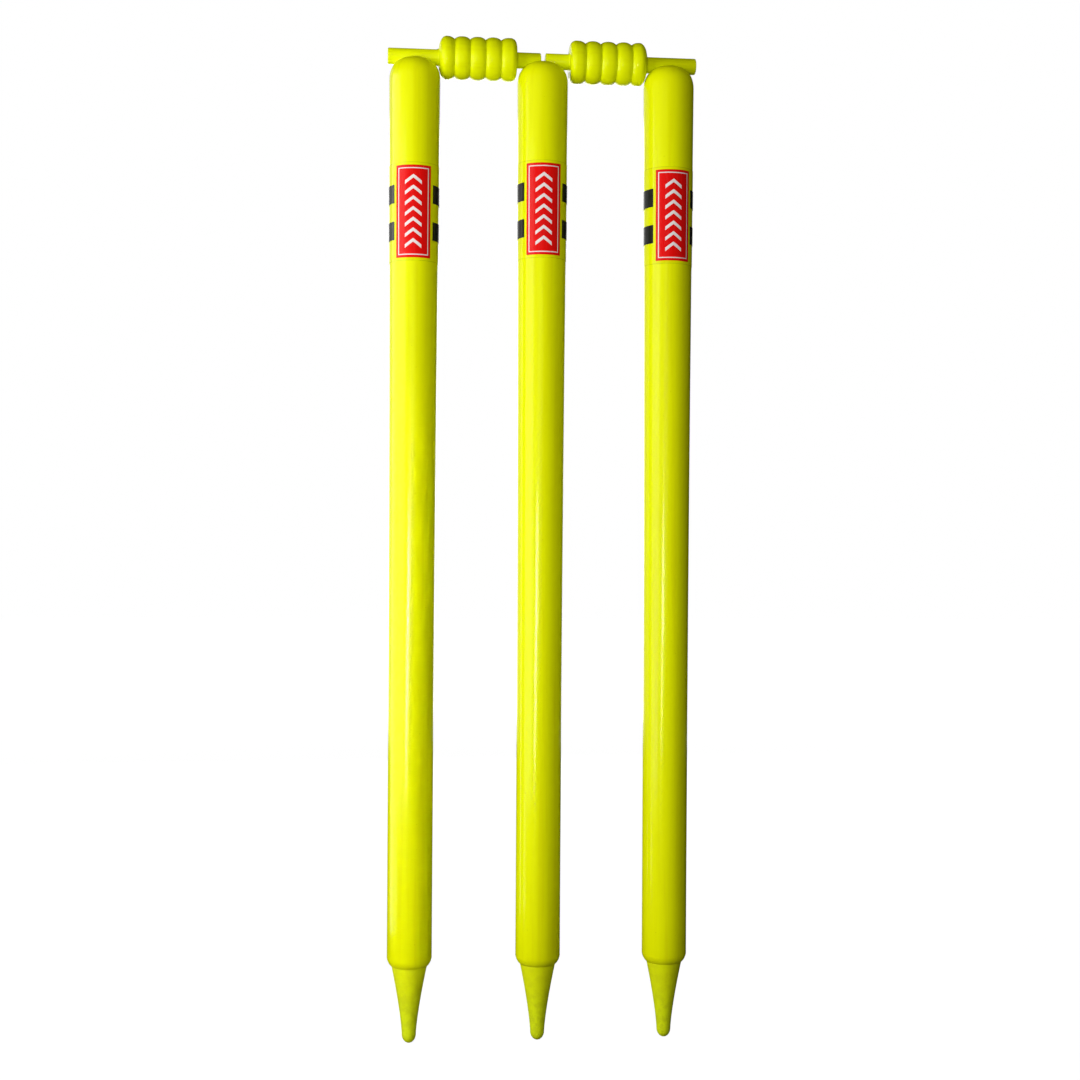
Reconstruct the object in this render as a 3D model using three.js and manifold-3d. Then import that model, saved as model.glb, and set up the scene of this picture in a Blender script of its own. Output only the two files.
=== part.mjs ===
// Cricket stumps: three turned stumps with painted points, two bails lying in their grooves,
// and a film with a label and two bands round each stump.
// Millimetres, +Z up. The origin is on the middle stump's axis at the ground line, where the
// point begins.
// The labels face -Y, and +X is to the right of someone who looks at them.

import * as THREE from 'three';
import { mergeVertices } from 'three/addons/utils/BufferGeometryUtils.js';
import Module from 'manifold-3d';

const wasm = await Module();
wasm.setup();

// The set as it stands, over the outer faces of the crowns
const WICKET_WIDTH = 222.9;

// One stump, from the crown to the tip and from the crown down
const STUMP_LENGTH = 711.2;
const STUMP_TOP_DIAMETER = 36.9;
const STUMP_BASE_DIAMETER = 32.3;
const CROWN_HEIGHT = 17.5;
const SHOULDER_LENGTH = 6;
const POINT_TOP_DIAMETER = 25.5;
const POINT_LENGTH = 55.4;
const TIP_DIAMETER = 10.2;
const TIP_LENGTH = 6.3;

// The crown is blunter than an ellipse, whose power is 2. The taper is strongest near the crown,
// and the point is hollow-ground.
const CROWN_POWER = 2.5;
const TAPER_POWER = 2;
const POINT_POWER = 1.35;
const BODY_STATION_SHARES = [0, 0.25, 0.45, 0.62, 0.79, 0.93, 1];

// The shoulder is part of an ellipse, between two angles in degrees: 0 is flat and 90 is upright
const SHOULDER_START_ANGLE = 25;
const SHOULDER_END_ANGLE = 75;

// The groove that the bails lie in
const GROOVE_DEPTH = 5.2;
const SPIGOT_CLEARANCE = 0.3;

// One bail
const SPIGOT_DIAMETER = 11.6;
const BARREL_DIAMETER = 31;
const BARREL_RINGS = 5;
const RING_NOTCH_DEPTH = 1.9;
const OUTER_END_ROUND_DEPTH = 9;
const OUTER_END_ROUND_LENGTH = 5.5;
const INNER_END_ROUND = 4.5;
const SPIGOT_EDGE_ROUND = 0.8;
const SPIGOT_OVERREACH = 19.7;
const SPIGOT_END_GAP = 3.3;
const BARREL_OUTER_CLEARANCE = 0.3;
const BARREL_INNER_CLEARANCE = 1.8;

// The clear film round each stump, with the label and the bands on it
const LABEL_HEIGHT = 66;
const LABEL_WIDTH = 26.4;
const LABEL_THICKNESS = 0.25;
const BAND_HEIGHT = 13.2;
const BAND_MARGIN = 13.2;
const BAND_LABEL_GAP = 2.1;
const FILM_MARGIN = 2.1;
const FILM_THICKNESS = 0.15;
const STICKER_CLEARANCE = 0.05;

// How far below the crown each label starts
const LABEL_DROPS = { left: 81.5, middle: 77.2, right: 79.3 };

// How far each label is turned to the right of straight ahead, in degrees
const LABEL_TURNS = { left: -3, middle: -1.5, right: 3 };

// Facets
const STUMP_FACETS = 32;
const BAIL_FACETS = 24;
const CROWN_STEPS = 8;
const SHOULDER_STEPS = 3;
const POINT_STEPS = 6;
const TIP_STEPS = 3;
const GROOVE_STEPS = 10;
const RING_STEPS = 5;
const END_ROUND_STEPS = 4;
const CUT_OVERRUN = 5;
const WELD_TOLERANCE = 0.001;

// Sizes worked out from the driving ones
const topRadius = STUMP_TOP_DIAMETER / 2;
const baseRadius = STUMP_BASE_DIAMETER / 2;
const pointRadius = POINT_TOP_DIAMETER / 2;
const tipRadius = TIP_DIAMETER / 2;
const axisSpacing = (WICKET_WIDTH - STUMP_TOP_DIAMETER) / 2;
const tipZ = -POINT_LENGTH;
const shoulderZ = SHOULDER_LENGTH;
const crownZ = STUMP_LENGTH - POINT_LENGTH;
const bodyTopZ = crownZ - CROWN_HEIGHT;
const spigotRadius = SPIGOT_DIAMETER / 2;
const grooveRadius = spigotRadius + SPIGOT_CLEARANCE;
const bailAxisZ = crownZ - GROOVE_DEPTH + grooveRadius;
const barrelRadius = BARREL_DIAMETER / 2;

const quarterTurn = Math.PI / 2;
const fullTurn = Math.PI * 2;
const facetAngle = fullTurn / STUMP_FACETS;

// Removes all but the positions, joins shared corners and drops the triangles that collapse
function weld(geometry) {
	geometry.deleteAttribute('normal');
	geometry.deleteAttribute('uv');
	const merged = mergeVertices(geometry, WELD_TOLERANCE);
	const corners = merged.getIndex().array;
	const kept = [];
	for (let i = 0; i < corners.length; i += 3) {
		const [a, b, c] = [corners[i], corners[i + 1], corners[i + 2]];
		if (a !== b && b !== c && c !== a) kept.push(a, b, c);
	}
	merged.setIndex(kept);
	return merged;
}

function toSolid(geometry) {
	const welded = weld(geometry);
	return new wasm.Manifold(new wasm.Mesh({
		numProp: 3,
		vertProperties: new Float32Array(welded.getAttribute('position').array),
		triVerts: new Uint32Array(welded.getIndex().array),
	}));
}

function toGeometry(solid) {
	const mesh = solid.getMesh();
	const geometry = new THREE.BufferGeometry();
	geometry.setAttribute('position', new THREE.BufferAttribute(mesh.vertProperties, 3));
	geometry.setIndex(new THREE.BufferAttribute(mesh.triVerts, 1));
	return geometry;
}

// Points of a quarter ellipse, from the end on the axis to the side. A power above 2 is blunter.
function quarterEllipse(radius, length, steps, power = 2) {
	const points = [];
	for (let i = 0; i <= steps; i += 1) {
		const angle = quarterTurn * i / steps;
		const outShare = Math.sin(angle) ** (2 / power);
		const downShare = 1 - Math.max(0, Math.cos(angle)) ** (2 / power);
		points.push({ radius: radius * outShare, fromEnd: length * downShare });
	}
	return points;
}

// Stump

// The body's stations from the shoulder up: between two of them the side is straight
const stations = BODY_STATION_SHARES.map((share) => ({
	z: THREE.MathUtils.lerp(shoulderZ, bodyTopZ, share),
	radius: THREE.MathUtils.lerp(baseRadius, topRadius, share ** TAPER_POWER),
}));

function bodyRadiusAt(z) {
	const upper = Math.max(1, stations.findIndex((station) => station.z >= z));
	const above = stations[upper];
	const below = stations[upper - 1];
	return THREE.MathUtils.mapLinear(z, below.z, above.z, below.radius, above.radius);
}

function stumpProfile() {
	const profile = quarterEllipse(tipRadius, TIP_LENGTH, TIP_STEPS).map(
		({ radius, fromEnd }) => new THREE.Vector2(radius, tipZ + fromEnd),
	);
	for (let i = 1; i <= POINT_STEPS; i += 1) {
		const share = i / POINT_STEPS;
		const radius = THREE.MathUtils.lerp(tipRadius, pointRadius, share ** POINT_POWER);
		profile.push(new THREE.Vector2(radius, THREE.MathUtils.lerp(tipZ + TIP_LENGTH, 0, share)));
	}
	const startAngle = THREE.MathUtils.degToRad(SHOULDER_START_ANGLE);
	const endAngle = THREE.MathUtils.degToRad(SHOULDER_END_ANGLE);
	for (let i = 1; i < SHOULDER_STEPS; i += 1) {
		const angle = THREE.MathUtils.lerp(startAngle, endAngle, i / SHOULDER_STEPS);
		profile.push(new THREE.Vector2(
			THREE.MathUtils.mapLinear(
				Math.sin(angle),
				Math.sin(startAngle),
				Math.sin(endAngle),
				pointRadius,
				baseRadius,
			),
			THREE.MathUtils.mapLinear(Math.cos(angle), Math.cos(startAngle), Math.cos(endAngle), 0, shoulderZ),
		));
	}
	stations.forEach(({ z, radius }) => profile.push(new THREE.Vector2(radius, z)));
	const crown = quarterEllipse(topRadius, CROWN_HEIGHT, CROWN_STEPS, CROWN_POWER);
	crown.reverse().slice(1).forEach(({ radius, fromEnd }) => {
		profile.push(new THREE.Vector2(radius, crownZ - fromEnd));
	});
	return profile;
}

// A channel with a round bottom, open at the top, running along X across the crown
function grooveCutter() {
	const section = new THREE.Shape();
	const openZ = crownZ + CUT_OVERRUN;
	section.moveTo(-grooveRadius, openZ);
	section.lineTo(-grooveRadius, bailAxisZ);
	section.absarc(0, bailAxisZ, grooveRadius, Math.PI, fullTurn, false);
	section.lineTo(grooveRadius, openZ);
	section.closePath();
	const length = STUMP_TOP_DIAMETER + 2 * CUT_OVERRUN;
	const cutter = new THREE.ExtrudeGeometry(section, {
		depth: length,
		bevelEnabled: false,
		curveSegments: GROOVE_STEPS,
	});
	cutter.translate(0, 0, -length / 2);
	const alongX = new THREE.Matrix4().makeBasis(
		new THREE.Vector3(0, 1, 0),
		new THREE.Vector3(0, 0, 1),
		new THREE.Vector3(1, 0, 0),
	);
	return cutter.applyMatrix4(alongX);
}

function stumpGeometry() {
	const turned = new THREE.LatheGeometry(stumpProfile(), STUMP_FACETS).rotateX(quarterTurn);
	return toGeometry(toSolid(turned).subtract(toSolid(grooveCutter())));
}

// Bail

// An end of the barrel from its flat face up to its full radius, as radius and distance
function barrelEndProfile(depth, length) {
	const profile = [];
	for (let i = 0; i <= END_ROUND_STEPS; i += 1) {
		const angle = quarterTurn * i / END_ROUND_STEPS;
		profile.push({
			radius: barrelRadius - depth * (1 - Math.sin(angle)),
			fromEnd: length * (1 - Math.cos(angle)),
		});
	}
	return profile;
}

// The crown's radius at a height, and the body's full radius below the crown
function crownRadiusAt(z) {
	const rise = Math.max(0, z - bodyTopZ) / CROWN_HEIGHT;
	return topRadius * Math.max(0, 1 - rise ** CROWN_POWER) ** (1 / CROWN_POWER);
}

// How far from a stump's axis a barrel's end must stay to touch the crown
function touchDistance(end) {
	return Math.max(...end.map(
		({ radius, fromEnd }) => crownRadiusAt(bailAxisZ - radius) - fromEnd,
	));
}

const outerEnd = barrelEndProfile(OUTER_END_ROUND_DEPTH, OUTER_END_ROUND_LENGTH);
const innerEnd = barrelEndProfile(INNER_END_ROUND, INNER_END_ROUND);
const outerStandoff = touchDistance(outerEnd) + BARREL_OUTER_CLEARANCE;
const innerStandoff = touchDistance(innerEnd) + BARREL_INNER_CLEARANCE;
const barrelLength = axisSpacing - outerStandoff - innerStandoff;
const longSpigot = outerStandoff + SPIGOT_OVERREACH;
const shortSpigot = innerStandoff - SPIGOT_END_GAP / 2;
const bailLength = longSpigot + barrelLength + shortSpigot;

// The outline of the barrel along its length: rings that bulge between shallow notches
function barrelProfile() {
	const pitch = barrelLength / BARREL_RINGS;
	const halfStep = pitch / RING_STEPS / 2;
	const profile = outerEnd.map(({ radius, fromEnd }) => new THREE.Vector2(radius, fromEnd));
	for (let ring = 0; ring < BARREL_RINGS; ring += 1) {
		for (let i = 0; i <= RING_STEPS; i += 1) {
			const across = i / RING_STEPS;
			const along = pitch * (ring + across);
			const crest = 1 - (2 * across - 1) ** 2;
			const radius = barrelRadius - RING_NOTCH_DEPTH * (1 - crest);
			const shared = ring > 0 && i === 0;
			const fromOuterEnd = along - OUTER_END_ROUND_LENGTH;
			const fromInnerEnd = barrelLength - along - INNER_END_ROUND;
			const clear = Math.min(fromOuterEnd, fromInnerEnd) > halfStep;
			if (clear && !shared) profile.push(new THREE.Vector2(radius, along));
		}
	}
	innerEnd.toReversed().forEach(({ radius, fromEnd }) => {
		profile.push(new THREE.Vector2(radius, barrelLength - fromEnd));
	});
	return profile;
}

// Turned about Y with the long spigot's end at zero, then laid along X
function bailGeometry() {
	const chamfered = spigotRadius - SPIGOT_EDGE_ROUND;
	const profile = [
		new THREE.Vector2(0, 0),
		new THREE.Vector2(chamfered, 0),
		new THREE.Vector2(spigotRadius, SPIGOT_EDGE_ROUND),
		new THREE.Vector2(spigotRadius, longSpigot),
	];
	barrelProfile().forEach(({ x, y }) => profile.push(new THREE.Vector2(x, y + longSpigot)));
	profile.push(
		new THREE.Vector2(spigotRadius, bailLength - shortSpigot),
		new THREE.Vector2(spigotRadius, bailLength - SPIGOT_EDGE_ROUND),
		new THREE.Vector2(chamfered, bailLength),
		new THREE.Vector2(0, bailLength),
	);
	return weld(new THREE.LatheGeometry(profile, BAIL_FACETS).rotateZ(-quarterTurn));
}

// Film, label and bands

// A thin wrap that follows the stump's taper and its facets, from one angle to another,
// where angles grow from straight ahead to the right
function wrapGeometry({ low, high, start, end, lift, thickness }) {
	const closed = end - start >= fullTurn;
	const heights = [low, ...stations.map(({ z }) => z).filter((z) => z > low && z < high), high];
	const angles = [start];
	const firstFacet = Math.floor(start / facetAngle) + 1;
	for (let facet = firstFacet; facet * facetAngle < end; facet += 1) angles.push(facet * facetAngle);
	if (!closed) angles.push(end);

	const positions = [];
	for (const z of heights) {
		for (const angle of angles) {
			const fromMiddle = angle - (Math.floor(angle / facetAngle) + 0.5) * facetAngle;
			const flatShare = Math.cos(facetAngle / 2) / Math.cos(fromMiddle);
			for (const offset of [lift, lift + thickness]) {
				const radius = (bodyRadiusAt(z) + offset) * flatShare;
				positions.push(radius * Math.sin(angle), -radius * Math.cos(angle), z);
			}
		}
	}

	const columns = angles.length;
	const corner = (row, column, side) => 2 * (row * columns + column % columns) + side;
	const indices = [];
	const quad = (a, b, c, d) => indices.push(a, b, c, a, c, d);
	const spans = closed ? columns : columns - 1;
	const lastRow = heights.length - 1;
	for (let column = 0; column < spans; column += 1) {
		const next = column + 1;
		for (let row = 0; row < lastRow; row += 1) {
			const up = row + 1;
			quad(corner(row, column, 1), corner(row, next, 1), corner(up, next, 1), corner(up, column, 1));
			quad(corner(row, column, 0), corner(up, column, 0), corner(up, next, 0), corner(row, next, 0));
		}
		quad(corner(0, column, 0), corner(0, next, 0), corner(0, next, 1), corner(0, column, 1));
		quad(corner(lastRow, column, 0), corner(lastRow, column, 1),
			corner(lastRow, next, 1), corner(lastRow, next, 0));
	}
	if (!closed) {
		for (let row = 0; row < lastRow; row += 1) {
			const up = row + 1;
			quad(corner(row, 0, 0), corner(row, 0, 1), corner(up, 0, 1), corner(up, 0, 0));
			quad(corner(row, spans, 0), corner(up, spans, 0), corner(up, spans, 1), corner(row, spans, 1));
		}
	}
	const geometry = new THREE.BufferGeometry();
	geometry.setAttribute('position', new THREE.Float32BufferAttribute(positions, 3));
	geometry.setIndex(indices);
	return geometry;
}

const filmLift = STICKER_CLEARANCE;
const labelLift = filmLift + FILM_THICKNESS + STICKER_CLEARANCE;

// Where a stump's label sits, with the angles from its middle to its sides and to the bands' ends
function labelPlace(side) {
	const top = crownZ - LABEL_DROPS[side];
	const bottom = top - LABEL_HEIGHT;
	const radius = bodyRadiusAt((top + bottom) / 2);
	const halfAngle = LABEL_WIDTH / 2 / radius;
	const bandAngle = halfAngle + BAND_LABEL_GAP / radius;
	const turn = THREE.MathUtils.degToRad(LABEL_TURNS[side]);
	return { top, bottom, turn, halfAngle, bandAngle };
}

function filmGeometry({ top, bottom }) {
	return wrapGeometry({
		low: bottom - FILM_MARGIN,
		high: top + FILM_MARGIN,
		start: 0,
		end: fullTurn,
		lift: filmLift,
		thickness: FILM_THICKNESS,
	});
}

function labelGeometry({ top, bottom, turn, halfAngle }) {
	return wrapGeometry({
		low: bottom,
		high: top,
		start: turn - halfAngle,
		end: turn + halfAngle,
		lift: labelLift,
		thickness: LABEL_THICKNESS,
	});
}

// A band goes round the back and stops short of the label on both sides
function bandGeometry({ turn, bandAngle }, bottomZ) {
	return wrapGeometry({
		low: bottomZ,
		high: bottomZ + BAND_HEIGHT,
		start: turn + bandAngle,
		end: turn + fullTurn - bandAngle,
		lift: labelLift,
		thickness: LABEL_THICKNESS,
	});
}

// Materials

const finishes = {
	stump: { color: '#e3ec12', roughness: 0.28, metalness: 0 },
	bail: { color: '#d6e40e', roughness: 0.32, metalness: 0 },
	film: { color: '#dfe816', roughness: 0.2, metalness: 0 },
	label: { color: '#d8140f', roughness: 0.35, metalness: 0 },
	band: { color: '#17180f', roughness: 0.35, metalness: 0 },
};

function addMesh(group, name, geometry, finish) {
	geometry.computeVertexNormals();
	const mesh = new THREE.Mesh(geometry, new THREE.MeshStandardMaterial(finishes[finish]));
	mesh.name = name;
	group.add(mesh);
	return mesh;
}

// Assembly

const wicket = new THREE.Group();
const places = { left: -axisSpacing, middle: 0, right: axisSpacing };

for (const [side, x] of Object.entries(places)) {
	const group = new THREE.Group();
	group.position.x = x;
	wicket.add(group);
	const place = labelPlace(side);
	const upperBottom = place.top - BAND_MARGIN - BAND_HEIGHT;
	const lowerBottom = place.bottom + BAND_MARGIN;
	addMesh(group, `stump_${side}`, stumpGeometry(), 'stump');
	addMesh(group, `film_${side}`, filmGeometry(place), 'film');
	addMesh(group, `label_${side}`, labelGeometry(place), 'label');
	addMesh(group, `band_upper_${side}`, bandGeometry(place, upperBottom), 'band');
	addMesh(group, `band_lower_${side}`, bandGeometry(place, lowerBottom), 'band');
}

// The long spigots point outwards: the right bail is the left one turned half round
for (const [side, outward] of Object.entries({ left: -1, right: 1 })) {
	const bail = addMesh(wicket, `bail_${side}`, bailGeometry(), 'bail');
	bail.position.set(outward * (axisSpacing + SPIGOT_OVERREACH), 0, bailAxisZ);
	if (outward > 0) bail.rotation.z = Math.PI;
}

export default wicket;
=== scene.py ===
"""Cricket stumps: the wicket's finished look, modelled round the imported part.

Metres, +Z up. The origin is on the middle stump's axis at the ground line, and the labels face -Y.
"""

import math

import bpy
from mathutils import Matrix, Vector


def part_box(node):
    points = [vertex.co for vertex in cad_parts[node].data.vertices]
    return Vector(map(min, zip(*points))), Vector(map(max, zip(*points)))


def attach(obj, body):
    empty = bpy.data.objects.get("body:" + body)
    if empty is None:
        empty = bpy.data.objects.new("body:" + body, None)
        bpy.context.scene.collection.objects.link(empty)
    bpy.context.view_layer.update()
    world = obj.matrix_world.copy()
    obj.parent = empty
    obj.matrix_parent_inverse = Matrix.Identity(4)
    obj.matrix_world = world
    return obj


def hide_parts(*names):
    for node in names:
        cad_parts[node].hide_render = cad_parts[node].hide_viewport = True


bl_info = {
    "name": "Cricket Stumps",
    "version": (1, 0, 0),
    "blender": (4, 5, 0),
    "location": "View3D > Sidebar > Wicket",
    "description": "Turns the stumps and bails, wraps the labels and bands, and sets the studio",
    "category": "Object",
}

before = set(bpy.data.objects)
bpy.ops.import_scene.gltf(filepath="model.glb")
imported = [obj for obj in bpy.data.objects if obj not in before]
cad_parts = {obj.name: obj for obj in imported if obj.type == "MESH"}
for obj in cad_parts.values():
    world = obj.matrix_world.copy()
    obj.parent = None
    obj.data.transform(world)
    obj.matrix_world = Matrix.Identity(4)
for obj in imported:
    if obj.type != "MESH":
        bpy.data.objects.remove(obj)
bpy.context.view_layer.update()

MM = 0.001
QUARTER = math.pi / 2
FULL_TURN = math.pi * 2
SIDES = ("left", "middle", "right")
# Faces round a stump or its film, and round a bail
STUMP_STEPS, BAIL_STEPS = 128, 96
# Faces that meet at less than this are smoothed into one
SMOOTH_ANGLE = math.radians(32)
# Corners nearer to each other than this are one
SEAM_GAP = 0.002 * MM
# How strongly the coats mirror, where 0.5 is plain plastic
COAT_LEVEL = 0.09
COAT_IOR = 1.5
# Roughness of the lacquer and the film, from their glossiest to their dullest
GLOSS_ROUGHNESS = (0.13, 0.18)


def middle_x(solid):
    low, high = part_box(solid)
    return (low.x + high.x) / 2


stump_low, stump_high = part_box("stump_middle")
bail_low, bail_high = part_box("bail_left")
label_low, label_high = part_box("label_middle")
film_low, film_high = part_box("film_middle")
bail_axis_z = (bail_low.z + bail_high.z) / 2
label_height = label_high.z - label_low.z
film_height = film_high.z - film_low.z
# Where each stump's axis stands along X
axes = {side: middle_x(f"stump_{side}") for side in SIDES}
# How far each label sits above the middle one
label_rises = {side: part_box(f"label_{side}")[0].z - label_low.z for side in SIDES}


# Settings


def length(name, description, default):
    return bpy.props.FloatProperty(
        name=name,
        description=description,
        default=default,
        min=0.0,
        precision=5,
        subtype="DISTANCE",
        unit="LENGTH",
    )


def factor(name, description, default, most=1.0):
    return bpy.props.FloatProperty(
        name=name, description=description, default=default, min=0.0, max=most, precision=3
    )


def slant(name, description, degrees):
    return bpy.props.FloatProperty(
        name=name, description=description, default=math.radians(degrees), precision=3, subtype="ANGLE"
    )


def power(name, description, default):
    return bpy.props.FloatProperty(
        name=name, description=description, default=default, min=0.0, precision=4, unit="POWER"
    )


def colour(name, description, default):
    return bpy.props.FloatVectorProperty(
        name=name, description=description, default=default, min=0.0, max=1.0, size=4, subtype="COLOR"
    )


class StumpSettings(bpy.types.PropertyGroup):
    """One stump, from its crown to its tip"""

    top_diameter: length("Top diameter", "Across the body below the crown", stump_high.x - stump_low.x)
    base_diameter: length("Base diameter", "Across the body above the shoulder", 32.3 * MM)
    crown_height: length("Crown height", "From the body's end to the top of the crown", 17.5 * MM)
    shoulder_length: length("Shoulder length", "From the point up to the body", 6.0 * MM)
    shoulder_start: slant("Shoulder start", "Slant where the point ends, where 0 is flat", 25)
    shoulder_end: slant("Shoulder end", "Slant where the body starts, where 90 degrees is upright", 75)
    point_diameter: length("Point diameter", "Across the point at the ground line", 25.5 * MM)
    tip_diameter: length("Tip diameter", "Across the point where its tip starts to round", 10.2 * MM)
    tip_length: length("Tip length", "Height of the rounded tip", 6.3 * MM)
    groove_depth: length("Groove depth", "Depth of the bail groove below the crown", 5.2 * MM)
    groove_clearance: length("Groove clearance", "Room round the spigot in its groove", 0.3 * MM)
    lip_round: length("Lip round", "How much the groove's edges are softened", 0.35 * MM)
    crown_power: factor("Crown power", "How blunt the crown is, where 2 is an ellipse", 2.5, most=4.0)
    taper_power: factor("Taper power", "How late the body widens towards the crown", 2.0, most=4.0)
    point_power: factor("Point power", "How hollow the point is", 1.35, most=4.0)


class BailSettings(bpy.types.PropertyGroup):
    """One bail, lying along X"""

    spigot_diameter: length("Spigot diameter", "Across the spigots", 11.6 * MM)
    outer_spigot: length("Outer spigot", "Length of the long spigot", 36.77 * MM)
    inner_spigot: length("Inner spigot", "Length of the short spigot", 17.81 * MM)
    spigot_edge: length("Spigot edge", "Chamfer at the spigots' ends", 0.8 * MM)
    root_round: length("Root round", "Fillet where a spigot meets the barrel", 1.4 * MM)
    outer_round: length("Outer round", "How far in the barrel's outer end is rounded", 9.0 * MM)
    outer_round_length: length("Outer round length", "How far along it is rounded", 5.5 * MM)
    inner_round: length("Inner round", "Rounding of the barrel's inner end", 4.5 * MM)
    notch_depth: length("Notch depth", "Depth of the creases between the rings", 1.9 * MM)
    rings: bpy.props.IntProperty(name="Rings", description="Rings on the barrel", default=5, min=1, max=9)
    ring_power: factor("Ring power", "How full each ring is beside its crest", 2.5, most=6.0)


class WrapSettings(bpy.types.PropertyGroup):
    """The film, the label and the bands round each stump"""

    label_width: length("Label width", "Along the curve of the stump", 26.4 * MM)
    band_height: length("Band height", "Height of each black band", 13.2 * MM)
    band_gap: length("Band gap", "Between a band's end and the label", 2.1 * MM)
    film_lift: length("Film lift", "From the paint to the film", 0.05 * MM)
    film_thickness: length("Film thickness", "Thickness of the clear film", 0.15 * MM)
    sticker_lift: length("Sticker lift", "From the paint to the label and the bands", 0.25 * MM)
    sticker_thickness: length("Sticker thickness", "Thickness of the label and the bands", 0.2 * MM)
    left_turn: slant("Left turn", "Turn of the left label to the right", -3)
    middle_turn: slant("Middle turn", "Turn of the middle label to the right", -1.5)
    right_turn: slant("Right turn", "Turn of the right label to the right", 3)


class ColourSettings(bpy.types.PropertyGroup):
    """The finishes' main colours"""

    body: colour("Body", "Lacquer on the stumps' bodies", (0.85, 0.905, 0.001, 1))
    point: colour("Point", "Thinner paint on the points", (0.74, 0.86, 0.006, 1))
    bail: colour("Bail", "Lacquer on the bails", (0.83, 0.91, 0.001, 1))
    label: colour("Label", "Red vinyl", (0.8, 0.005, 0.004, 1))
    ink: colour("Ink", "Pale ink on the label", (0.86, 0.82, 0.8, 1))
    band: colour("Band", "Black vinyl", (0.012, 0.013, 0.01, 1))


class StudioSettings(bpy.types.PropertyGroup):
    """Lamps and surroundings"""

    key_power: power("Key power", "Big soft box at the front left", 6.15)
    side_power: power("Side power", "Soft box close on the left, for the gloss alone", 4.5)
    strip_power: power("Strip power", "Leaning strip between the soft box and the camera", 1.3)
    front_power: power("Front power", "Soft fill beside the camera, which the gloss doesn't mirror", 3.6)
    top_power: power("Top power", "Soft fill overhead, which the gloss doesn't mirror", 0.8)
    foot_power: power("Foot power", "Narrow beam on the left stump's lower part", 0.0121)
    back_power: power("Back power", "Soft fill from behind", 9.5)
    surroundings: factor("Surroundings", "Level of the light from all round", 0.06)
    floor_glow: factor("Floor glow", "How far the floor is lifted to white for the camera", 0.97)


# Shapes of the turned pieces, as radius and place along the axis


def quarter_ellipse(radius, height, steps, power=2.0):
    """From the end on the axis to the full radius, as radius and distance from the end."""
    angles = [QUARTER * i / steps for i in range(steps + 1)]
    out = [math.sin(a) ** (2 / power) for a in angles]
    down = [1 - max(0.0, math.cos(a)) ** (2 / power) for a in angles]
    return [(radius * o, height * d) for o, d in zip(out, down)]


def groove_radius():
    sizes, bails = bpy.context.scene.wicket_stump, bpy.context.scene.wicket_bail
    return bails.spigot_diameter / 2 + sizes.groove_clearance


def crown_top_z():
    """Top of the crown before the groove is cut."""
    return bail_axis_z - groove_radius() + bpy.context.scene.wicket_stump.groove_depth


def body_radius(z):
    """Radius of a stump's painted body at that height."""
    sizes = bpy.context.scene.wicket_stump
    crown_start = crown_top_z() - sizes.crown_height
    along = (z - sizes.shoulder_length) / (crown_start - sizes.shoulder_length)
    base = sizes.base_diameter / 2
    return base + (sizes.top_diameter / 2 - base) * max(0.0, along) ** sizes.taper_power


def stump_outline():
    """From the tip's end up to the crown's top."""
    sizes = bpy.context.scene.wicket_stump
    tip, point, base = (d / 2 for d in (sizes.tip_diameter, sizes.point_diameter, sizes.base_diameter))
    low = stump_low.z
    tip_steps, point_steps, shoulder_steps, body_steps, crown_steps = 10, 22, 8, 26, 24

    outline = [(r, low + rise) for r, rise in quarter_ellipse(tip, sizes.tip_length, tip_steps)]
    for i in range(1, point_steps + 1):
        along = i / point_steps
        radius = tip + (point - tip) * along**sizes.point_power
        outline.append((radius, (low + sizes.tip_length) * (1 - along)))

    start, end = sizes.shoulder_start, sizes.shoulder_end
    for i in range(1, shoulder_steps):
        angle = start + (end - start) * i / shoulder_steps
        out = (math.sin(angle) - math.sin(start)) / (math.sin(end) - math.sin(start))
        up = (math.cos(start) - math.cos(angle)) / (math.cos(start) - math.cos(end))
        outline.append((point + (base - point) * out, sizes.shoulder_length * up))

    crown_start = crown_top_z() - sizes.crown_height
    for i in range(body_steps + 1):
        z = sizes.shoulder_length + (crown_start - sizes.shoulder_length) * i / body_steps
        outline.append((body_radius(z), z))
    crown = quarter_ellipse(sizes.top_diameter / 2, sizes.crown_height, crown_steps, sizes.crown_power)
    outline += [(r, crown_top_z() - drop) for r, drop in reversed(crown[:-1])]
    return outline


def rounded_end(barrel, depth, run):
    """From the barrel's end to its full radius, as radius and distance from the end."""
    steps = 10
    return [(barrel - depth + r, along) for r, along in quarter_ellipse(depth, run, steps)]


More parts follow.
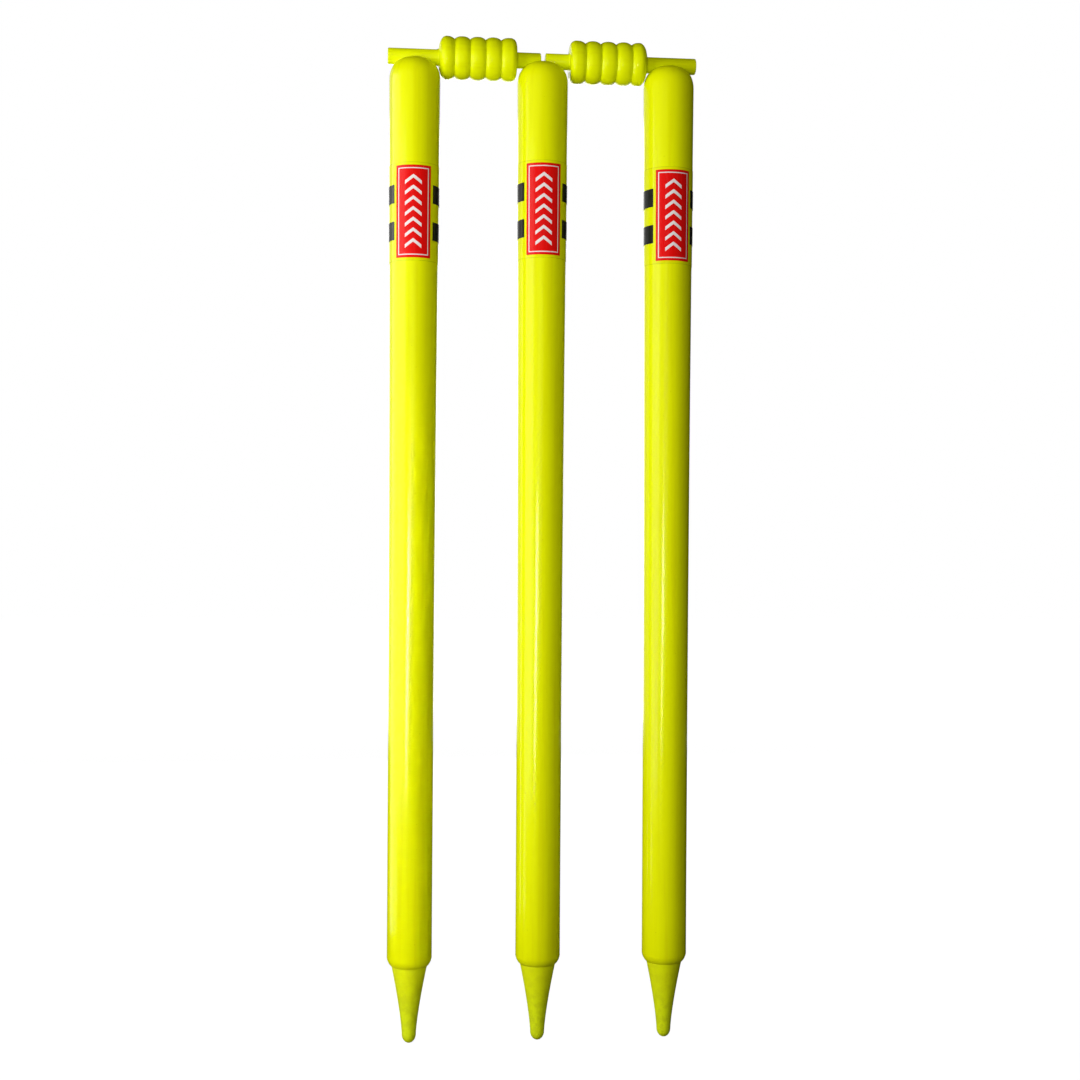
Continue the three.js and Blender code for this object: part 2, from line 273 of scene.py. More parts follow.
def bail_outline():
    """From the long spigot's end to the short one's."""
    sizes = bpy.context.scene.wicket_bail
    spigot = sizes.spigot_diameter / 2
    barrel = (bail_high.z - bail_low.z) / 2
    total = bail_high.x - bail_low.x
    start, stop = sizes.outer_spigot, total - sizes.inner_spigot
    pitch = (stop - start) / sizes.rings
    edge, root = sizes.spigot_edge, sizes.root_round
    root_steps, ring_steps = 4, 14

    chamfer = [(0.0, 0.0), (spigot - edge, 0.0), (spigot - edge / 3, edge / 3), (spigot, edge)]
    # A quarter circle with its two ways swapped, which makes it hollow
    root_arc = [(spigot + rise, along) for along, rise in quarter_ellipse(root, root, root_steps)]
    outer_end = rounded_end(barrel, sizes.outer_round, sizes.outer_round_length)
    inner_end = rounded_end(barrel, sizes.inner_round, sizes.inner_round)

    outline = chamfer + [(spigot, start - root)]
    outline += [(r, start + along) for r, along in outer_end]
    for step in range(sizes.rings * ring_steps + 1):
        along = pitch * step / ring_steps
        across = 2 * (step % ring_steps) / ring_steps - 1
        if sizes.outer_round_length < along < (stop - start) - sizes.inner_round:
            drop = sizes.notch_depth * abs(across) ** sizes.ring_power
            outline.append((barrel - drop, start + along))
    outline += [(r, stop - along) for r, along in reversed(inner_end)]
    outline += [(r, stop + root - along) for r, along in reversed(root_arc)]
    outline += [(r, total - along) for r, along in reversed(chamfer)]
    return outline


# Modelling steps


def deselect():
    bpy.ops.object.select_all(action="DESELECT")


def finish_mesh():
    """Closes seams, turns the faces outwards and smooths what isn't an edge."""
    bpy.ops.mesh.select_all(action="SELECT")
    bpy.ops.mesh.remove_doubles(threshold=SEAM_GAP)
    bpy.ops.mesh.normals_make_consistent(inside=False)
    bpy.ops.object.mode_set(mode="OBJECT")
    bpy.ops.object.shade_smooth_by_angle(angle=SMOOTH_ANGLE)


def turn_on_lathe(name, points, steps, centre=(0, 0, 0), axis=(0, 0, 1)):
    """Draws the points as a chain of edges and spins it round the axis."""
    deselect()
    bpy.ops.mesh.primitive_plane_add(size=MM, location=points[0])
    piece = bpy.context.object
    piece.name = name
    bpy.ops.object.transform_apply(location=True, rotation=True, scale=True)
    bpy.ops.object.mode_set(mode="EDIT")
    bpy.ops.mesh.select_all(action="SELECT")
    bpy.ops.mesh.merge(type="CENTER")
    for here, there in zip(points, points[1:]):
        bpy.ops.mesh.extrude_region_move(
            TRANSFORM_OT_translate={"value": Vector(there) - Vector(here)}
        )
    bpy.ops.mesh.select_all(action="SELECT")
    bpy.ops.mesh.spin(steps=steps, angle=FULL_TURN, center=centre, axis=axis)
    finish_mesh()
    return piece


def apply_modifier(piece, kind, **settings):
    deselect()
    piece.select_set(True)
    bpy.context.view_layer.objects.active = piece
    bpy.ops.object.modifier_add(type=kind)
    modifier = piece.modifiers[-1]
    for key, value in settings.items():
        setattr(modifier, key, value)
    bpy.ops.object.modifier_apply(modifier=modifier.name)


def copy_piece(piece, name, place=(0, 0, 0), turn=0.0):
    """A copy with its own mesh, moved and turned about Z, with its place in its mesh."""
    deselect()
    piece.select_set(True)
    bpy.context.view_layer.objects.active = piece
    bpy.ops.object.duplicate(linked=False)
    made = bpy.context.object
    made.name = name
    made.data.name = name
    made.location = place
    made.rotation_euler = (0, 0, turn)
    bpy.ops.object.transform_apply(location=True, rotation=True, scale=True)
    return made


def discard(helper):
    """Removes a pattern or a cutter and its mesh."""
    mesh = helper.data
    bpy.data.objects.remove(helper)
    bpy.data.meshes.remove(mesh)


def join_frame(piece, body, solid):
    """Hangs the piece under its body's empty and hides the solid it stands for."""
    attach(piece, body)
    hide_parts(solid)


def label_place(side):
    """Where the middle stump's film, label and bands go on that side's stump."""
    return (axes[side], 0, label_rises[side])


def label_turn(side):
    return getattr(bpy.context.scene.wicket_wrap, f"{side}_turn")


def cut_groove(stump):
    """Cuts the bail groove across the crown, along X, and softens its edges."""
    sizes = bpy.context.scene.wicket_stump
    # How long the cutter is beside the stump's width
    overhang = 1.3
    # The cut leaves corners nearer to each other than this
    sliver = 0.12 * MM
    # What meets at more than this is an edge of the groove
    sharp = math.radians(40)
    deselect()
    bpy.ops.mesh.primitive_cylinder_add(
        vertices=72,
        radius=groove_radius(),
        depth=sizes.top_diameter * overhang,
        location=(0, 0, bail_axis_z),
        rotation=(0, QUARTER, 0),
    )
    cutter = bpy.context.object
    bpy.ops.object.transform_apply(location=True, rotation=True, scale=True)
    apply_modifier(stump, "BOOLEAN", operation="DIFFERENCE", solver="EXACT", object=cutter)
    discard(cutter)

    bpy.ops.object.mode_set(mode="EDIT")
    bpy.ops.mesh.select_all(action="SELECT")
    bpy.ops.mesh.remove_doubles(threshold=sliver)
    bpy.ops.mesh.select_all(action="DESELECT")
    bpy.ops.mesh.edges_select_sharp(sharpness=sharp)
    bpy.ops.mesh.bevel(offset=sizes.lip_round, segments=3, clamp_overlap=True)
    finish_mesh()


def wrap_strip(name, width, bottom, height, columns, rows, middle=0.0):
    """Bends a flat grid round the stump's taper and gives it its thickness.

    middle is the angle of its middle, from straight ahead to the right. Its UV map stays the
    flat grid's, so a print follows the curve.
    """
    wrap = bpy.context.scene.wicket_wrap
    radius = body_radius(bottom + height / 2) + wrap.sticker_lift
    deselect()
    bpy.ops.mesh.primitive_grid_add(
        x_subdivisions=columns, y_subdivisions=rows, size=1, rotation=(QUARTER, 0, 0)
    )
    piece = bpy.context.object
    piece.name = name
    piece.scale = (width, height, 1)
    bpy.ops.object.transform_apply(location=True, rotation=True, scale=True)
    apply_modifier(piece, "SIMPLE_DEFORM", deform_method="BEND", deform_axis="Z", angle=width / radius)

    bpy.ops.object.mode_set(mode="EDIT")
    bpy.ops.mesh.select_all(action="SELECT")
    bpy.ops.transform.translate(value=(0, -radius, bottom + height / 2))
    reach = height / rows / 4
    for row in range(rows + 1):
        z = bottom + height * row / rows
        bpy.ops.mesh.select_all(action="DESELECT")
        bpy.ops.object.mode_set(mode="OBJECT")
        for vertex in piece.data.vertices:
            vertex.select = abs(vertex.co.z - z) < reach
        bpy.ops.object.mode_set(mode="EDIT")
        grow = (body_radius(z) + wrap.sticker_lift) / radius
        bpy.ops.transform.resize(value=(grow, grow, 1), center_override=(0, 0, z))
    bpy.ops.object.mode_set(mode="OBJECT")
    apply_modifier(
        piece, "SOLIDIFY", thickness=wrap.sticker_thickness, offset=1.0, use_even_offset=True
    )
    piece.rotation_euler = (0, 0, middle)
    bpy.ops.object.transform_apply(location=True, rotation=True, scale=True)
    bpy.ops.object.shade_smooth_by_angle(angle=SMOOTH_ANGLE)
    return piece


# Finishes


def new_tree(name):
    material = bpy.data.materials.new(name)
    material.use_nodes = True
    material.node_tree.nodes.clear()
    return material, material.node_tree


def node(tree, kind, inputs=None, **settings):
    """Adds a node, sets its options, and fills or links its sockets."""
    made = tree.nodes.new(kind)
    for key, value in settings.items():
        setattr(made, key, value)
    for key, value in (inputs or {}).items():
        if isinstance(value, bpy.types.NodeSocket):
            tree.links.new(value, made.inputs[key])
        else:
            made.inputs[key].default_value = value
    return made


def object_place(tree):
    return node(tree, "ShaderNodeTexCoord").outputs["Object"]


def tinted(main, red, green, blue):
    """The colour with each of its channels times a factor."""
    return (main[0] * red, main[1] * green, main[2] * blue, 1)


def mix(tree, share_of_b, a, b):
    """Mixes two colours, whose sockets are the node's seventh and eighth."""
    inputs = {0: share_of_b, 6: a, 7: b}
    return node(tree, "ShaderNodeMix", inputs, data_type="RGBA").outputs[2]


def mix_numbers(tree, share_of_b, a, b):
    """Mixes two numbers, whose sockets are the node's third and fourth."""
    return node(tree, "ShaderNodeMix", {0: share_of_b, 2: a, 3: b}).outputs[0]


def maths(tree, operation, a, b=0.0, c=0.0):
    return node(tree, "ShaderNodeMath", {0: a, 1: b, 2: c}, operation=operation).outputs[0]


def fade(tree, value, start, stop, low=0.0, high=1.0):
    """Goes smoothly from low at start to high at stop."""
    inputs = {"Value": value, "From Min": start, "From Max": stop, "To Min": low, "To Max": high}
    return node(tree, "ShaderNodeMapRange", inputs, interpolation_type="SMOOTHSTEP").outputs[0]


def noise(tree, coordinates, per_metre, detail=2.0, roughness=0.5, stretch=(1, 1, 1)):
    """Noise with that many features a metre, drawn out where a share of stretch is below one."""
    placed = node(tree, "ShaderNodeMapping", {"Vector": coordinates, "Scale": stretch}).outputs[0]
    inputs = {"Vector": placed, "Scale": per_metre, "Detail": detail, "Roughness": roughness}
    return node(tree, "ShaderNodeTexNoise", inputs).outputs["Fac"]


def bump(tree, height, distance, normal=None):
    inputs = {"Height": height, "Distance": distance}
    if normal is not None:
        inputs["Normal"] = normal
    return node(tree, "ShaderNodeBump", inputs).outputs[0]


def surface(tree, main, rough, normal):
    inputs = {"Base Color": main, "Roughness": rough, "Normal": normal}
    inputs |= {"IOR": COAT_IOR, "Specular IOR Level": COAT_LEVEL}
    shader = node(tree, "ShaderNodeBsdfPrincipled", inputs)
    node(tree, "ShaderNodeOutputMaterial", {"Surface": shader.outputs[0]})


def seen_directly(tree):
    """1 for what the camera, a reflection or clear glass sees, and 0 for light on the object."""
    path = node(tree, "ShaderNodeLightPath").outputs
    mirrored = maths(tree, "MAXIMUM", path["Is Glossy Ray"], path["Is Transmission Ray"])
    return maths(tree, "MAXIMUM", path["Is Camera Ray"], mirrored)


def lacquer(name, main, grain_stretch, point=None):
    """Fluorescent gloss paint over turned wood, with the wood's grain drawn out along the piece.

    With a point colour, it turns matt and mottled below the ground line.
    """
    material, tree = new_tree(name)
    place = object_place(tree)
    cloud_stretch = tuple(max(share, 0.25) for share in grain_stretch)
    clouds = noise(tree, place, 22, detail=3, stretch=cloud_stretch)
    streaks = noise(tree, place, 210, detail=3, roughness=0.6, stretch=grain_stretch)
    grain = noise(tree, place, 900, detail=5, roughness=0.65, stretch=grain_stretch)
    peel = noise(tree, place, 420, detail=1)
    specks = noise(tree, place, 620, detail=2, roughness=0.7)

    thin = tinted(main, 0.9, 0.86, 1.2)
    dirt = tinted(main, 0.45, 0.4, 1.0)
    shade = mix(tree, fade(tree, clouds, 0.35, 0.7, high=0.35), tuple(main), thin)
    shade = mix(tree, fade(tree, streaks, 0.45, 0.7, high=0.6), shade, thin)
    shade = mix(tree, fade(tree, specks, 0.7, 0.78, high=0.4), shade, dirt)
    rough = fade(tree, streaks, 0.3, 0.8, *GLOSS_ROUGHNESS)
    relief = maths(tree, "ADD", maths(tree, "MULTIPLY", grain, 0.35), peel)
    normal = bump(tree, relief, 0.012 * MM)
    if point is not None:
        shade, rough, normal = wear_point(tree, place, tuple(point), dirt, shade, rough, normal)
    surface(tree, shade, rough, normal)
    return material


def wear_point(tree, place, point, dirt, shade, rough, normal):
    """Turns the paint matt and mottled below a wavering ground line, and more so further down."""
    up = node(tree, "ShaderNodeSeparateXYZ", {0: place}).outputs["Z"]
    wobble = maths(tree, "MULTIPLY_ADD", noise(tree, place, 120), 1.2 * MM, -0.6 * MM)
    level = maths(tree, "ADD", up, wobble)
    below = fade(tree, level, 0.4 * MM, -0.5 * MM)
    deeper = fade(tree, up, -2 * MM, -48 * MM)
    mottle = noise(tree, place, 150, detail=5, roughness=0.65)
    brushed = noise(tree, place, 500, detail=4, roughness=0.7, stretch=(1, 1, 0.3))

    rub = tinted(point, 0.85, 0.84, 1.0)
    tipped = mix(tree, fade(tree, mottle, 0.42, 0.62), point, rub)
    dull = mix(tree, maths(tree, "MULTIPLY_ADD", deeper, 0.6, 0.35), shade, tipped)
    dull = mix(tree, fade(tree, brushed, 0.55, 0.75, high=0.25), dull, rub)
    shade = mix(tree, below, shade, dull)

    line_top = fade(tree, level, 0.7 * MM, 0.1 * MM)
    line_foot = fade(tree, level, -1.1 * MM, -0.3 * MM)
    line = maths(tree, "MULTIPLY", line_top, line_foot)
    line_strength = 0.04
    shade = mix(tree, maths(tree, "MULTIPLY", line, line_strength), shade, dirt)

    matt = fade(tree, mottle, 0.3, 0.7, 0.38, 0.55)
    rough = mix_numbers(tree, fade(tree, level, 5 * MM, 1 * MM), rough, matt)
    coarse = maths(tree, "MULTIPLY", maths(tree, "ADD", brushed, mottle), below)
    return shade, rough, bump(tree, coarse, 0.12 * MM, normal=normal)


def film_finish(name, main):
    """Clear film with the lacquer showing through, a little duller, and a line of dust at its edges."""
    material, tree = new_tree(name)
    place = object_place(tree)
    up = node(tree, "ShaderNodeAttribute", attribute_name="film_height").outputs["Fac"]
    clouds = noise(tree, place, 60, detail=3)
    ripple = noise(tree, place, 240, detail=2)
    under = tinted(main, 0.97, 0.96, 1.0)
    dulled = tinted(main, 0.9, 0.88, 1.3)
    dust = tinted(main, 0.6, 0.62, 2.0)
    shade = mix(tree, fade(tree, clouds, 0.35, 0.7, high=0.6), under, dulled)
    near_top = fade(tree, up, film_height - 0.5 * MM, film_height - 0.1 * MM)
    near_foot = fade(tree, up, 0.5 * MM, 0.1 * MM)
    near_edge = maths(tree, "MAXIMUM", near_top, near_foot)
    patchy = fade(tree, ripple, 0.3, 0.6, 0.4, 0.9)
    shade = mix(tree, maths(tree, "MULTIPLY", near_edge, patchy), shade, dust)
    rough = fade(tree, clouds, 0.3, 0.7, *GLOSS_ROUGHNESS)
    surface(tree, shade, rough, bump(tree, ripple, 0.02 * MM))
    return material


def vinyl(name, main, worn, print_on=None):
    """Glossy vinyl with a faint ripple and fine rub marks. print_on adds a print to the colour."""
    material, tree = new_tree(name)
    place = object_place(tree)
    ripple = noise(tree, place, 300, detail=2)
    rubs = noise(tree, place, 700, detail=4, roughness=0.7, stretch=(1, 1, 0.15))
    clouds = noise(tree, place, 70, detail=3)
    shade = mix(tree, fade(tree, clouds, 0.35, 0.7, high=0.5), tuple(main), worn)
    shade = mix(tree, fade(tree, rubs, 0.62, 0.8, high=0.25), shade, worn)
    if print_on is not None:
        shade = print_on(tree, shade)
    rough = fade(tree, rubs, 0.3, 0.8, 0.2, 0.34)
    surface(tree, shade, rough, bump(tree, ripple, 0.02 * MM))
    return material


def chevron_print(tree, ground):
    """A pale key line round the label with a column of plain chevrons inside it."""
    ink = tuple(bpy.context.scene.wicket_colours.ink)
    ink_cover = 0.94
    wide = bpy.context.scene.wicket_wrap.label_width
    tall = label_height
    flat = node(tree, "ShaderNodeTexCoord").outputs["UV"]
    centred = {"Vector": flat, "Location": (-wide / 2, -tall / 2, 0), "Scale": (wide, tall, 1)}
    place = node(tree, "ShaderNodeMapping", centred).outputs[0]
    parts = node(tree, "ShaderNodeSeparateXYZ", {0: place}).outputs
    aside = maths(tree, "ABSOLUTE", parts["X"])
    along = maths(tree, "ABSOLUTE", parts["Y"])

    inset, line = 2.2 * MM, 0.7 * MM
    past_side = maths(tree, "SUBTRACT", aside, wide / 2 - inset)
    past_end = maths(tree, "SUBTRACT", along, tall / 2 - inset)
    from_line = maths(tree, "ABSOLUTE", maths(tree, "MAXIMUM", past_side, past_end))
    key_line = maths(tree, "LESS_THAN", from_line, line / 2)

    pitch, stroke, slope = 7.6 * MM, 2.6 * MM, 0.75
    half_width, half_column = 6.0 * MM, 22.8 * MM
    climb = maths(tree, "MULTIPLY_ADD", aside, slope, parts["Y"])
    climb = maths(tree, "SUBTRACT", climb, slope * half_width / 2)
    folded = maths(tree, "PINGPONG", maths(tree, "ADD", climb, half_column), pitch / 2)
    chevrons = maths(tree, "LESS_THAN", folded, stroke / 2)
    inside = maths(tree, "LESS_THAN", aside, half_width)
    column = maths(tree, "LESS_THAN", maths(tree, "ABSOLUTE", climb), half_column + pitch / 4)
    chevrons = maths(tree, "MULTIPLY", chevrons, maths(tree, "MULTIPLY", inside, column))
    inked = maths(tree, "MAXIMUM", key_line, chevrons)
    return mix(tree, maths(tree, "MULTIPLY", inked, ink_cover), ground, ink)


def paint(piece, material):
    piece.data.materials.clear()
    piece.data.materials.append(material)


# Operators


class WICKET_OT_stage(bpy.types.Operator):
    """Sets the floor, the lamps, the surroundings and the camera"""

    bl_idname = "wicket.stage"
    bl_label = "Stage"

    # The photograph's camera: its place, its turns in radians, and its lens and sensor in mm
    CAMERA_PLACE = (-0.117657, -1.164149, 0.301011)
    CAMERA_YAW, CAMERA_PITCH, CAMERA_ROLL = -0.10073, 0.00566, -0.00598
    CAMERA_LENS, CAMERA_SENSOR = 53.554, 36
    FLOOR_SIZE = 14
    FLOOR_GREYS = (0.11, 0.13)
    # Where the floor's glow starts to rise to plain white, and where it gets there
    FLOOR_CLEARING = (0.6, 2.4)
    # The screen's azimuths, in degrees from the camera's side to the right, and its roof's lower edge
    SCREEN_START, SCREEN_STOP = -13, 155
    SCREEN_ROOF = 1.3
    SCREEN_RADIUS, MAT_RADIUS = 1.9, 1.8
    MAT_LIFT = 1 * MM

    def execute(self, context):
        self.set_camera(context)
        self.lay_floor(context)
        self.set_dark_covers()
        self.set_surroundings(context)
        self.hang_lamps(context.scene.wicket_studio)
        context.scene.view_settings.view_transform = "Standard"
        return {"FINISHED"}

    def set_camera(self, context):
        bpy.ops.object.camera_add()
        camera = context.object
        turn = Matrix.Rotation(self.CAMERA_YAW, 4, "Z") @ Matrix.Rotation(self.CAMERA_PITCH, 4, "X")
        turn = turn @ Matrix.Rotation(self.CAMERA_ROLL, 4, "Y") @ Matrix.Rotation(QUARTER, 4, "X")
        camera.matrix_world = Matrix.Translation(self.CAMERA_PLACE) @ turn
        camera.data.sensor_width = self.CAMERA_SENSOR
        camera.data.lens = self.CAMERA_LENS
        context.scene.camera = camera

    def hang_lamps(self, studio):
        self.hang_lamp(
            "Front soft box", studio.key_power,
            place=(-0.713, -0.463, 0.38), target=(0, 0, 0.36), size=(0.44, 0.8),
        )
        self.hang_lamp(
            "Side soft box", studio.side_power,
            place=(-0.4, 0.02, 0.3), target=(axes["left"], 0, 0.3), size=(0.3, 0.9),
            hidden_from="diffuse",
        )
        self.hang_lamp(
            "Strip", studio.strip_power,
            place=(-0.53, -1.16, 0.13), target=(-0.235, 0, 0.24), size=(0.2, 0.48),
            roll=-0.6, spread=37, hidden_from="diffuse",
        )
        self.hang_lamp(
            "Front fill", studio.front_power,
            place=(-0.13, -0.94, 0.4), target=(0, 0, 0.38), size=(0.4, 0.5),
            hidden_from="glossy",
        )
        self.hang_lamp(
            "Top fill", studio.top_power,
            place=(-0.15, -0.55, 1.35), target=(0, 0, 0.65), size=(0.5, 0.4),
            hidden_from="glossy",
        )
        self.hang_lamp(
            "Foot spot", studio.foot_power,
            place=(-0.15, -1, 0.19), target=(axes["left"], 0, 0.18), size=(0.05, 0.44),
            spread=6, hidden_from="glossy",
        )
        self.hang_lamp(
            "Back fill", studio.back_power,
            place=(-0.1, 1.5, 0.5), target=(0, 0, 0.3), size=(1.0, 1.0),
        )

    def hang_lamp(self, name, watts, place, target, size, roll=0.0, spread=180, hidden_from=None):
        """A soft box that faces its target, rolled by radians and with its beam's spread in degrees.

        hidden_from is the one kind of ray, besides the camera's, that misses it.
        """
        bpy.ops.object.light_add(type="AREA", location=place)
        lamp = bpy.context.object
        lamp.name = name
        aim = (Vector(target) - Vector(place)).to_track_quat("-Z", "Y").to_matrix()
        lamp.rotation_euler = (aim @ Matrix.Rotation(roll, 3, "Z")).to_euler()
        lamp.data.shape = "RECTANGLE"
        lamp.data.size, lamp.data.size_y = size
        lamp.data.energy = watts
        lamp.data.spread = math.radians(spread)
        lamp.visible_camera = False
        if hidden_from is not None:
            setattr(lamp, f"visible_{hidden_from}", False)

    def lay_floor(self, context):
        bpy.ops.mesh.primitive_plane_add(size=self.FLOOR_SIZE, location=(0, 0, stump_low.z))
        floor = context.object
        floor.name = "floor"
        bpy.ops.object.transform_apply(location=True, rotation=True, scale=True)
        material, tree = new_tree("Pale floor")
        place = object_place(tree)
        mottle = fade(tree, noise(tree, place, 6), 0.3, 0.7, *self.FLOOR_GREYS)
        pale = node(tree, "ShaderNodeCombineColor", {0: mottle, 1: mottle, 2: mottle}).outputs[0]
        matt = node(tree, "ShaderNodeBsdfDiffuse", {"Color": pale}).outputs[0]
        away = node(tree, "ShaderNodeVectorMath", {0: place}, operation="LENGTH").outputs["Value"]
        level = fade(tree, away, *self.FLOOR_CLEARING, context.scene.wicket_studio.floor_glow, 1.0)
        strength = maths(tree, "MULTIPLY", seen_directly(tree), level)
        glow = node(tree, "ShaderNodeEmission", {"Strength": strength}).outputs[0]
        both = node(tree, "ShaderNodeAddShader", {0: matt, 1: glow}).outputs[0]
        node(tree, "ShaderNodeOutputMaterial", {"Surface": both})
        paint(floor, material)

    def set_dark_covers(self):
        """A dark screen on the right and overhead, and a dark mat below, which only gloss reflects."""
        cloth = self.dark_cloth()
        for cover in (self.stand_screen(), self.lay_mat()):
            paint(cover, cloth)
            for ray in ("camera", "diffuse", "transmission", "shadow", "volume_scatter"):
                setattr(cover, f"visible_{ray}", False)

    def dark_cloth(self):
        material, tree = new_tree("Dark cloth")
        darkest, dark = (0.002, 0.002, 0.002, 1), (0.006, 0.006, 0.006, 1)
        nap = mix(tree, noise(tree, object_place(tree), 40), darkest, dark)
        cloth = node(tree, "ShaderNodeBsdfDiffuse", {"Color": nap}).outputs[0]
        node(tree, "ShaderNodeOutputMaterial", {"Surface": cloth})
        return material

    def stand_screen(self):
        """A piece of a sphere, round the right side and overhead."""
        deselect()
        bpy.ops.mesh.primitive_uv_sphere_add(segments=72, ring_count=36, radius=self.SCREEN_RADIUS)
        screen = bpy.context.object
        screen.name = "dark_screen"
        bpy.ops.object.mode_set(mode="EDIT")
        bpy.ops.mesh.select_all(action="DESELECT")
        bpy.ops.object.mode_set(mode="OBJECT")
        for vertex in screen.data.vertices:
            azimuth = math.degrees(math.atan2(vertex.co.x, -vertex.co.y))
            beside = self.SCREEN_START < azimuth < self.SCREEN_STOP
            vertex.select = not (beside or vertex.co.z > self.SCREEN_ROOF)
        bpy.ops.object.mode_set(mode="EDIT")
        bpy.ops.mesh.delete(type="VERT")
        bpy.ops.object.mode_set(mode="OBJECT")
        return screen

    def lay_mat(self):
        """A round mat just above the floor."""
        place = (0, 0, stump_low.z + self.MAT_LIFT)
        bpy.ops.mesh.primitive_circle_add(
            vertices=64, radius=self.MAT_RADIUS, fill_type="NGON", location=place
        )
        mat = bpy.context.object
        mat.name = "dark_mat"
        bpy.ops.object.transform_apply(location=True, rotation=True, scale=True)
        return mat

    def set_surroundings(self, context):
        world = bpy.data.worlds.new("Studio")
        context.scene.world = world
        world.use_nodes = True
        tree = world.node_tree
        tree.nodes.clear()
        plain = context.scene.wicket_studio.surroundings
        level = fade(tree, seen_directly(tree), 0, 1, plain, 1.0)
        back = node(tree, "ShaderNodeBackground", {"Color": (1, 1, 1, 1), "Strength": level})
        node(tree, "ShaderNodeOutputWorld", {"Surface": back.outputs[0]})


class WICKET_OT_stumps(bpy.types.Operator):
    """Turns one stump, cuts its groove and sets the three up"""

    bl_idname = "wicket.stumps"
    bl_label = "Stumps"

    def execute(self, context):
        colours = context.scene.wicket_colours
        material = lacquer("Stump lacquer", colours.body, (1, 1, 0.03), point=colours.point)
        points = [(r, 0, z) for r, z in stump_outline()]
        pattern = turn_on_lathe("stump_pattern", points, STUMP_STEPS)
        cut_groove(pattern)
        for side in SIDES:
            stump = copy_piece(pattern, f"turned_stump_{side}", (axes[side], 0, 0))
            paint(stump, material)
            join_frame(stump, f"{side}_stump", f"stump_{side}")
        discard(pattern)
        return {"FINISHED"}


class WICKET_OT_bails(bpy.types.Operator):
    """Turns one bail and lays it and its twin in the grooves"""

    bl_idname = "wicket.bails"
    bl_label = "Bails"

    def execute(self, context):
        material = lacquer("Bail lacquer", context.scene.wicket_colours.bail, (0.05, 1, 1))
        points = [(bail_low.x + along, 0, bail_axis_z + r) for r, along in bail_outline()]
        left = turn_on_lathe(
            "turned_bail_left", points, BAIL_STEPS, centre=(0, 0, bail_axis_z), axis=(1, 0, 0)
        )
        right = copy_piece(left, "turned_bail_right", turn=math.pi)
        for side, bail in (("left", left), ("right", right)):
            paint(bail, material)
            join_frame(bail, f"{side}_bail", f"bail_{side}")
        return {"FINISHED"}


class WICKET_OT_films(bpy.types.Operator):
    """Wraps a ring of clear film round each stump"""

    bl_idname = "wicket.films"
    bl_label = "Films"

    def execute(self, context):
        wrap = context.scene.wicket_wrap
        material = film_finish("Clear film", context.scene.wicket_colours.body)
        inner, outer = wrap.film_lift, wrap.film_lift + wrap.film_thickness
        rows = 8
        levels = [film_low.z + film_height * i / rows for i in range(rows + 1)]
        section = [(body_radius(z) + outer, 0, z) for z in levels]
        section += [(body_radius(z) + inner, 0, z) for z in reversed(levels)]
        section.append(section[0])
        pattern = turn_on_lathe("film_pattern", section, STUMP_STEPS)
        heights = pattern.data.attributes.new("film_height", "FLOAT", "POINT")
        heights.data.foreach_set("value", [vertex.co.z - film_low.z for vertex in pattern.data.vertices])
        for side in SIDES:
            film = copy_piece(pattern, f"wrapped_film_{side}", label_place(side))
            paint(film, material)
            join_frame(film, f"{side}_stump", f"film_{side}")
        discard(pattern)
        return {"FINISHED"}


class WICKET_OT_labels(bpy.types.Operator):
    """Wraps a printed red label on the front of each film"""

    bl_idname = "wicket.labels"
    bl_label = "Labels"

    def execute(self, context):
        wrap, colours = context.scene.wicket_wrap, context.scene.wicket_colours
        worn = tinted(colours.label, 0.93, 1.8, 1.8)
        material = vinyl("Red vinyl", colours.label, worn, print_on=chevron_print)
        pattern = wrap_strip(
            "label_pattern", wrap.label_width, label_low.z, label_height, columns=28, rows=10
        )
        for side in SIDES:
            label = copy_piece(pattern, f"printed_label_{side}", label_place(side), label_turn(side))
            paint(label, material)
            join_frame(label, f"{side}_stump", f"label_{side}")
        discard(pattern)
        return {"FINISHED"}


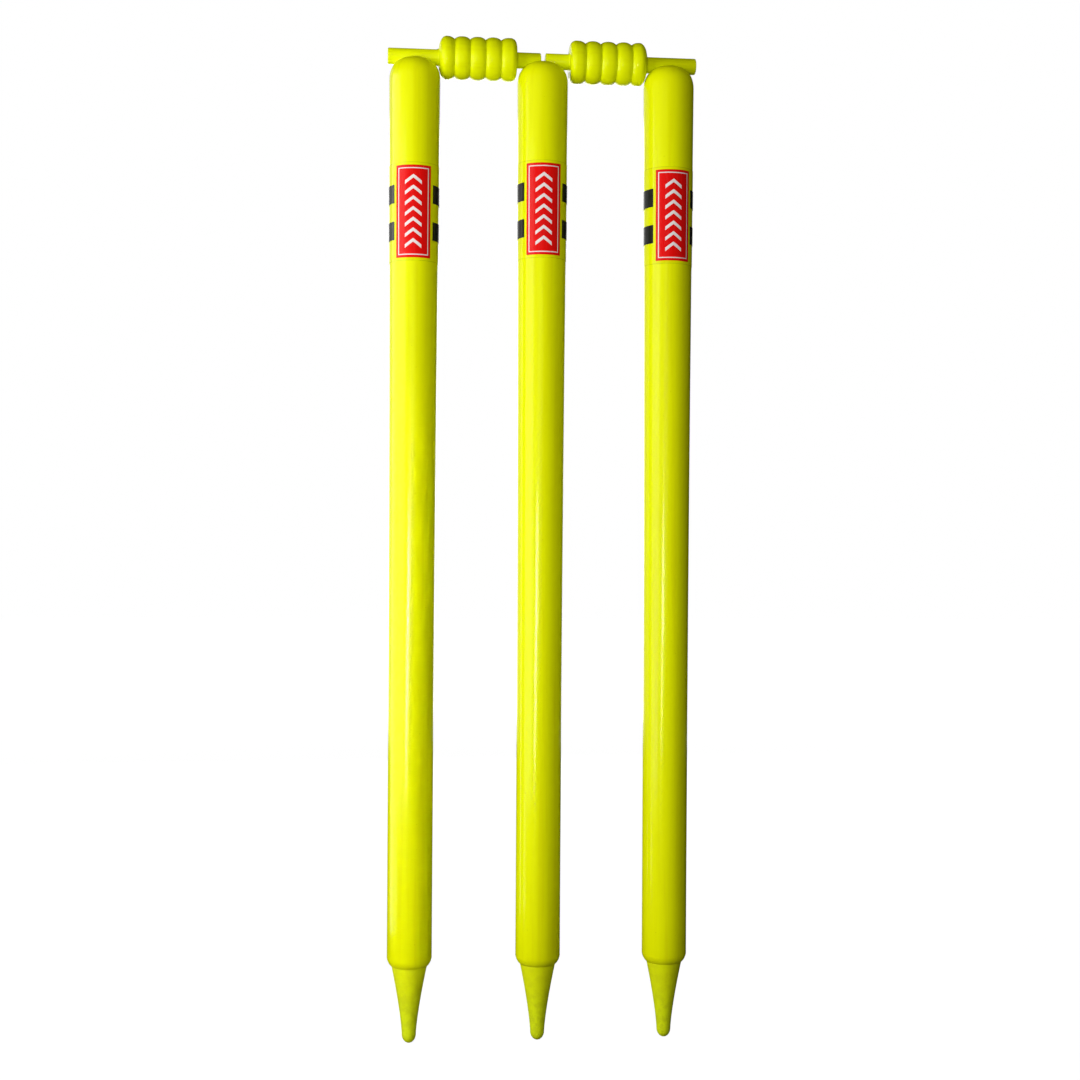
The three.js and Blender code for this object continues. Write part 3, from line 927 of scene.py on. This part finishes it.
class WICKET_OT_bands(bpy.types.Operator):
    """Wraps the two black bands round the back of each film"""

    bl_idname = "wicket.bands"
    bl_label = "Bands"

    def execute(self, context):
        wrap, colours = context.scene.wicket_wrap, context.scene.wicket_colours
        worn = tinted(colours.band, 2.2, 2.2, 2.2)
        material = vinyl("Black vinyl", colours.band, worn)
        label_radius = body_radius((label_low.z + label_high.z) / 2)
        open_angle = (wrap.label_width + 2 * wrap.band_gap) / label_radius
        for level in ("upper", "lower"):
            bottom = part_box(f"band_{level}_middle")[0].z
            radius = body_radius(bottom + wrap.band_height / 2) + wrap.sticker_lift
            width = (FULL_TURN - open_angle) * radius
            pattern = wrap_strip(
                "band_pattern", width, bottom, wrap.band_height, columns=96, rows=2, middle=math.pi
            )
            for side in SIDES:
                name = f"wrapped_band_{level}_{side}"
                band = copy_piece(pattern, name, label_place(side), label_turn(side))
                paint(band, material)
                join_frame(band, f"{side}_stump", f"band_{level}_{side}")
            discard(pattern)
        return {"FINISHED"}


OPERATORS = (
    WICKET_OT_stage,
    WICKET_OT_stumps,
    WICKET_OT_bails,
    WICKET_OT_films,
    WICKET_OT_labels,
    WICKET_OT_bands,
)


class WICKET_PT_sidebar(bpy.types.Panel):
    """Lists the steps that dress the wicket"""

    bl_idname = "WICKET_PT_sidebar"
    bl_label = "Wicket"
    bl_space_type = "VIEW_3D"
    bl_region_type = "UI"
    bl_category = "Wicket"

    def draw(self, context):
        for step in OPERATORS:
            self.layout.operator(step.bl_idname)


SETTINGS = {
    "wicket_stump": StumpSettings,
    "wicket_bail": BailSettings,
    "wicket_wrap": WrapSettings,
    "wicket_colours": ColourSettings,
    "wicket_studio": StudioSettings,
}


def register():
    for kind in (*SETTINGS.values(), *OPERATORS, WICKET_PT_sidebar):
        bpy.utils.register_class(kind)
    for name, kind in SETTINGS.items():
        setattr(bpy.types.Scene, name, bpy.props.PointerProperty(type=kind))


def unregister():
    for name in SETTINGS:
        delattr(bpy.types.Scene, name)
    for kind in (WICKET_PT_sidebar, *reversed(OPERATORS), *reversed(list(SETTINGS.values()))):
        bpy.utils.unregister_class(kind)


def main():
    register()
    bpy.ops.wicket.stage()
    bpy.ops.wicket.stumps()
    bpy.ops.wicket.bails()
    bpy.ops.wicket.films()
    bpy.ops.wicket.labels()
    bpy.ops.wicket.bands()
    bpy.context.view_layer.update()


if __name__ == "__main__":
    main()
